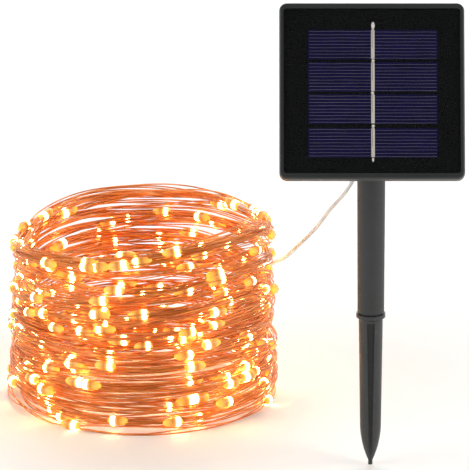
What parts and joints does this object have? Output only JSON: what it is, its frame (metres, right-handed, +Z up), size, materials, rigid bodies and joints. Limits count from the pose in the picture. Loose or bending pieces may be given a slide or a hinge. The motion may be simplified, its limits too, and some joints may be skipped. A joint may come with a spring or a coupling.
{
  "type": "solar string lights",
  "caption": "Solar-charged string light: a tilting square solar head on a ground stake, with a clear lead to a wound coil of fine copper wire with small warm lights.",
  "frame": {"origin": "point of the ground spike, on the stake's axis, level with the floor that the light coil stands on", "axes": "+Z up along the stake, -Y the way the solar head faces at rest, +X to the right of someone facing the solar head"},
  "size_m": [0.2014, 0.2261, 0.2096],
  "materials": {
    "black_abs_moulded": "matte",
    "black_abs_satin": "satin",
    "black_laminate_board": "gloss",
    "silicon_cell": "satin",
    "tinned_ribbon": "satin",
    "clear_epoxy": "gloss",
    "black_foam_rubber": "matte",
    "black_rubber": "matte",
    "zinc_steel": "satin",
    "nickel_contact": "satin",
    "battery_sleeve": "gloss",
    "circuit_laminate": "satin",
    "component_black": "matte",
    "capacitor_can": "satin",
    "wire_red": "satin",
    "wire_black": "satin",
    "clear_pvc_lead": "gloss",
    "clear_pvc_moulded": "gloss",
    "tie_plastic": "matte",
    "copper_wire": "gloss",
    "wound_copper_bulk": "satin"
  },
  "bodies": {
    "stake": {"ground_spike": "black_abs_moulded", "stake_tube": "black_abs_moulded", "lead_start": "clear_pvc_lead", "lead_cable": "clear_pvc_lead", "lead_coil": "clear_pvc_lead", "coil_tie": "tie_plastic", "lead_tail": "clear_pvc_lead", "junction_sleeve": "clear_pvc_moulded", "string_start": "copper_wire", "light_coil": "wound_copper_bulk"},
    "neck": {"neck": "black_abs_moulded", "lead_gland": "black_rubber"},
    "solar_head": {"back_case": "black_abs_moulded", "battery": "battery_sleeve", "battery_contact": "nickel_contact", "battery_spring": "nickel_contact", "battery_wire_negative": "wire_black", "battery_wire_positive": "wire_red", "boost_inductor": "component_black", "busbar_ribbon_1": "tinned_ribbon", "busbar_ribbon_2": "tinned_ribbon", "busbar_ribbon_3": "tinned_ribbon", "busbar_ribbon_4": "tinned_ribbon", "case_gasket": "black_foam_rubber", "case_screw_1": "zinc_steel", "case_screw_2": "zinc_steel", "case_screw_3": "zinc_steel", "case_screw_4": "zinc_steel", "circuit_board": "circuit_laminate", "circuit_screw_1": "zinc_steel", "circuit_screw_2": "zinc_steel", "clear_cover": "clear_epoxy", "controller_chip": "component_black", "front_bezel": "black_abs_satin", "hinge_bolt": "zinc_steel", "hinge_washer": "zinc_steel", "mode_switch": "component_black", "panel_board": "black_laminate_board", "panel_wire_negative": "wire_black", "panel_wire_positive": "wire_red", "power_switch": "component_black", "smoothing_capacitor": "capacitor_can", "solar_cell_1": "silicon_cell", "solar_cell_2": "silicon_cell", "solar_cell_3": "silicon_cell", "solar_cell_4": "silicon_cell", "spring_contact": "nickel_contact"},
    "clamp_knob": {"clamp_knob": "black_abs_moulded"},
    "battery_door": {"battery_door": "black_abs_moulded", "door_screw": "zinc_steel"},
    "power_button": {"power_button": "black_rubber"},
    "mode_button": {"mode_button": "black_rubber"}
  },
  "joints": [
    {"name": "neck_swivel", "type": "hinge", "parent": "stake", "child": "neck", "pos_m": [0, 0, 0.1325], "axis": [0, 0, 1], "range_deg": [-60, 60], "deforming": ["lead_start"]},
    {"name": "head_tilt", "type": "hinge", "parent": "neck", "child": "solar_head", "pos_m": [0, 0, 0.1623], "axis": [-1, 0, 0], "range_deg": [-36, 54]},
    {"name": "knob_turn", "type": "hinge", "parent": "solar_head", "child": "clamp_knob", "pos_m": [-0.012, 0, 0.1623], "axis": [1, 0, 0], "range_deg": [0, 360]},
    {"name": "battery_door_lift", "type": "slide", "parent": "solar_head", "child": "battery_door", "axis": [0, 0.809, -0.5878], "range_m": [0, 0.018]},
    {"name": "power_press", "type": "slide", "parent": "solar_head", "child": "power_button", "axis": [0, -0.809, 0.5878], "range_m": [0, 0.0007], "stiffness_N_per_m": 400, "springref_m": -0.0005},
    {"name": "mode_press", "type": "slide", "parent": "solar_head", "child": "mode_button", "axis": [0, -0.809, 0.5878], "range_m": [0, 0.0007], "stiffness_N_per_m": 400, "springref_m": -0.0005}
  ]
}
